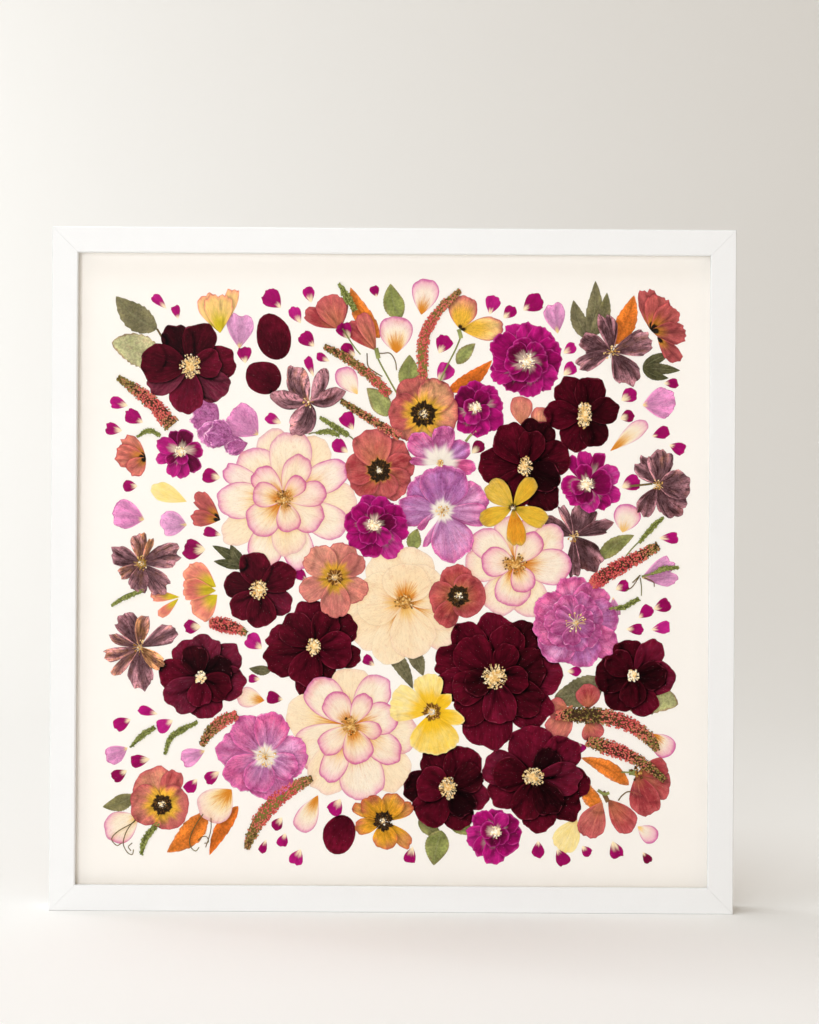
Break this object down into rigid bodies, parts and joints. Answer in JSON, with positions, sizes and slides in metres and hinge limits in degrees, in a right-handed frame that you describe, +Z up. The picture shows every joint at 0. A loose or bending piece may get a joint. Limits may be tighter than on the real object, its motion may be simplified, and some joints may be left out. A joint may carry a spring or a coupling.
{
  "type": "pressed flower frame",
  "caption": "Square white picture frame, glazed, with pressed roses, pansies, larkspur, flower spikes, leaves and loose petals laid flat on an ivory board.",
  "frame": {"origin": "middle of the bottom rail's underside, halfway between the front and back faces", "axes": "+X to the viewer's right, the picture faces -Y, +Z up"},
  "size_m": [0.528, 0.034, 0.528],
  "materials": {
    "frame_paint": "white satin paint on wood",
    "glazing": "clear, low reflection",
    "board_ivory": "matte ivory mount board",
    "backing_fibreboard": "raw brown fibreboard",
    "spacer_white": "matte white strip",
    "tab_steel": "zinc-grey steel",
    "petal_burgundy": "dried petal, matte deep burgundy",
    "petal_cream": "dried petal, cream with pink rims and gold centre",
    "petal_magenta": "dried petal, magenta with pale base",
    "petal_mauve": "dried petal, crumpled mauve pink",
    "petal_coral": "dried petal, coral to red with gold base and dark ring",
    "petal_yellow": "dried petal, yellow with brown rays",
    "petal_purple_grey": "dried petal, veined purple grey",
    "spike_coral_green": "dried flower spike, coral beads running to olive"
  },
  "bodies": {
    "root": {"rail_bottom": "frame_paint", "rail_top": "frame_paint", "rail_left": "frame_paint", "rail_right": "frame_paint", "glass_pane": "glazing", "mount_board": "board_ivory", "backing_board": "backing_fibreboard", "spacer_top": "spacer_white", "spacer_bottom": "spacer_white", "spacer_left": "spacer_white", "spacer_right": "spacer_white", "tab_top": "tab_steel", "tab_bottom": "tab_steel", "tab_left": "tab_steel", "tab_right": "tab_steel", "sawtooth_hanger": "tab_steel", "rose_burgundy_01": "petal_burgundy", "rose_burgundy_02": "petal_burgundy", "rose_burgundy_03": "petal_burgundy", "rose_burgundy_04": "petal_burgundy", "rose_burgundy_05": "petal_burgundy", "rose_burgundy_06": "petal_burgundy", "rose_burgundy_07": "petal_burgundy", "rose_burgundy_08": "petal_burgundy", "rose_burgundy_09": "petal_burgundy", "rose_burgundy_10": "petal_burgundy", "rose_cream_01": "petal_cream", "rose_cream_02": "petal_cream", "rose_cream_03": "petal_cream", "rose_cream_04": "petal_cream", "rose_magenta_01": "petal_magenta", "rose_magenta_02": "petal_magenta", "rose_magenta_03": "petal_magenta", "rose_magenta_04": "petal_magenta", "rose_magenta_05": "petal_magenta", "rose_magenta_06": "petal_magenta", "flower_mauve_01": "petal_mauve", "flower_mauve_02": "petal_mauve", "flower_mauve_03": "petal_mauve", "flower_mauve_04": "petal_mauve", "flower_coral_01": "petal_coral", "flower_coral_02": "petal_coral", "flower_coral_03": "petal_coral", "pansy_yellow_01": "petal_yellow", "poppy_red_01": "petal_coral", "viola_yellow_01": "petal_yellow", "flower_coral_04": "petal_coral", "flower_orange_01": "petal_coral", "larkspur_grey_01": "petal_purple_grey", "larkspur_grey_02": "petal_purple_grey", "larkspur_grey_03": "petal_purple_grey", "larkspur_grey_04": "petal_purple_grey", "larkspur_grey_05": "petal_purple_grey", "larkspur_grey_06": "petal_purple_grey", "bellflower_red_01": "petal_coral", "spike_coral_01": "spike_coral_green", "spike_coral_02": "spike_coral_green", "spike_coral_03": "spike_coral_green", "spike_coral_04": "spike_coral_green", "spike_coral_05": "spike_coral_green"}
  },
  "joints": []
}
